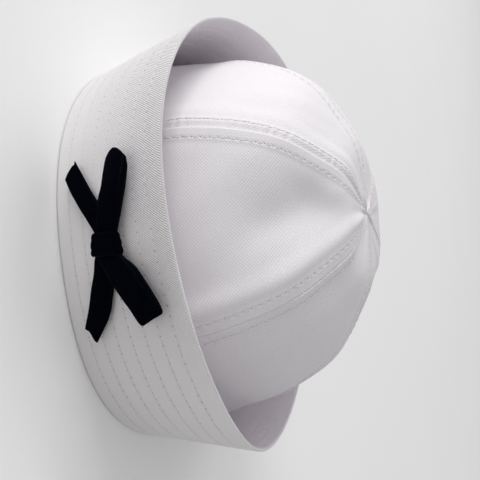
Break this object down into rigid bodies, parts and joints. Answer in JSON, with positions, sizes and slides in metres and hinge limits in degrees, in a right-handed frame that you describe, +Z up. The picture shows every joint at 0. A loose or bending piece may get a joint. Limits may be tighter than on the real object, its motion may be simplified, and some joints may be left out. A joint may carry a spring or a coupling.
{
  "type": "sailor cap",
  "caption": "Round cloth sailor cap: domed crown of sewn panels inside a wide turned-up brim, with a velvet ribbon bow on the front.",
  "frame": {"origin": "middle of the cap's footprint, on the surface that the fold of the brim rests on", "axes": "+Z up to the apex of the crown, -Y to the front where the bow is, +X to the right of someone who looks at the front"},
  "size_m": [0.2236, 0.2197, 0.1214],
  "materials": {
    "cotton": "matt white cotton twill",
    "velvet": "near-black navy velvet ribbon"
  },
  "bodies": {
    "root": {"brim": "cotton", "crown_panel_front": "cotton", "crown_panel_front_left": "cotton", "crown_panel_front_right": "cotton", "crown_panel_back": "cotton", "crown_panel_back_left": "cotton", "crown_panel_back_right": "cotton", "bow_loop_left": "velvet", "bow_loop_right": "velvet", "bow_tail_left": "velvet", "bow_tail_right": "velvet", "bow_knot": "velvet"}
  },
  "joints": []
}
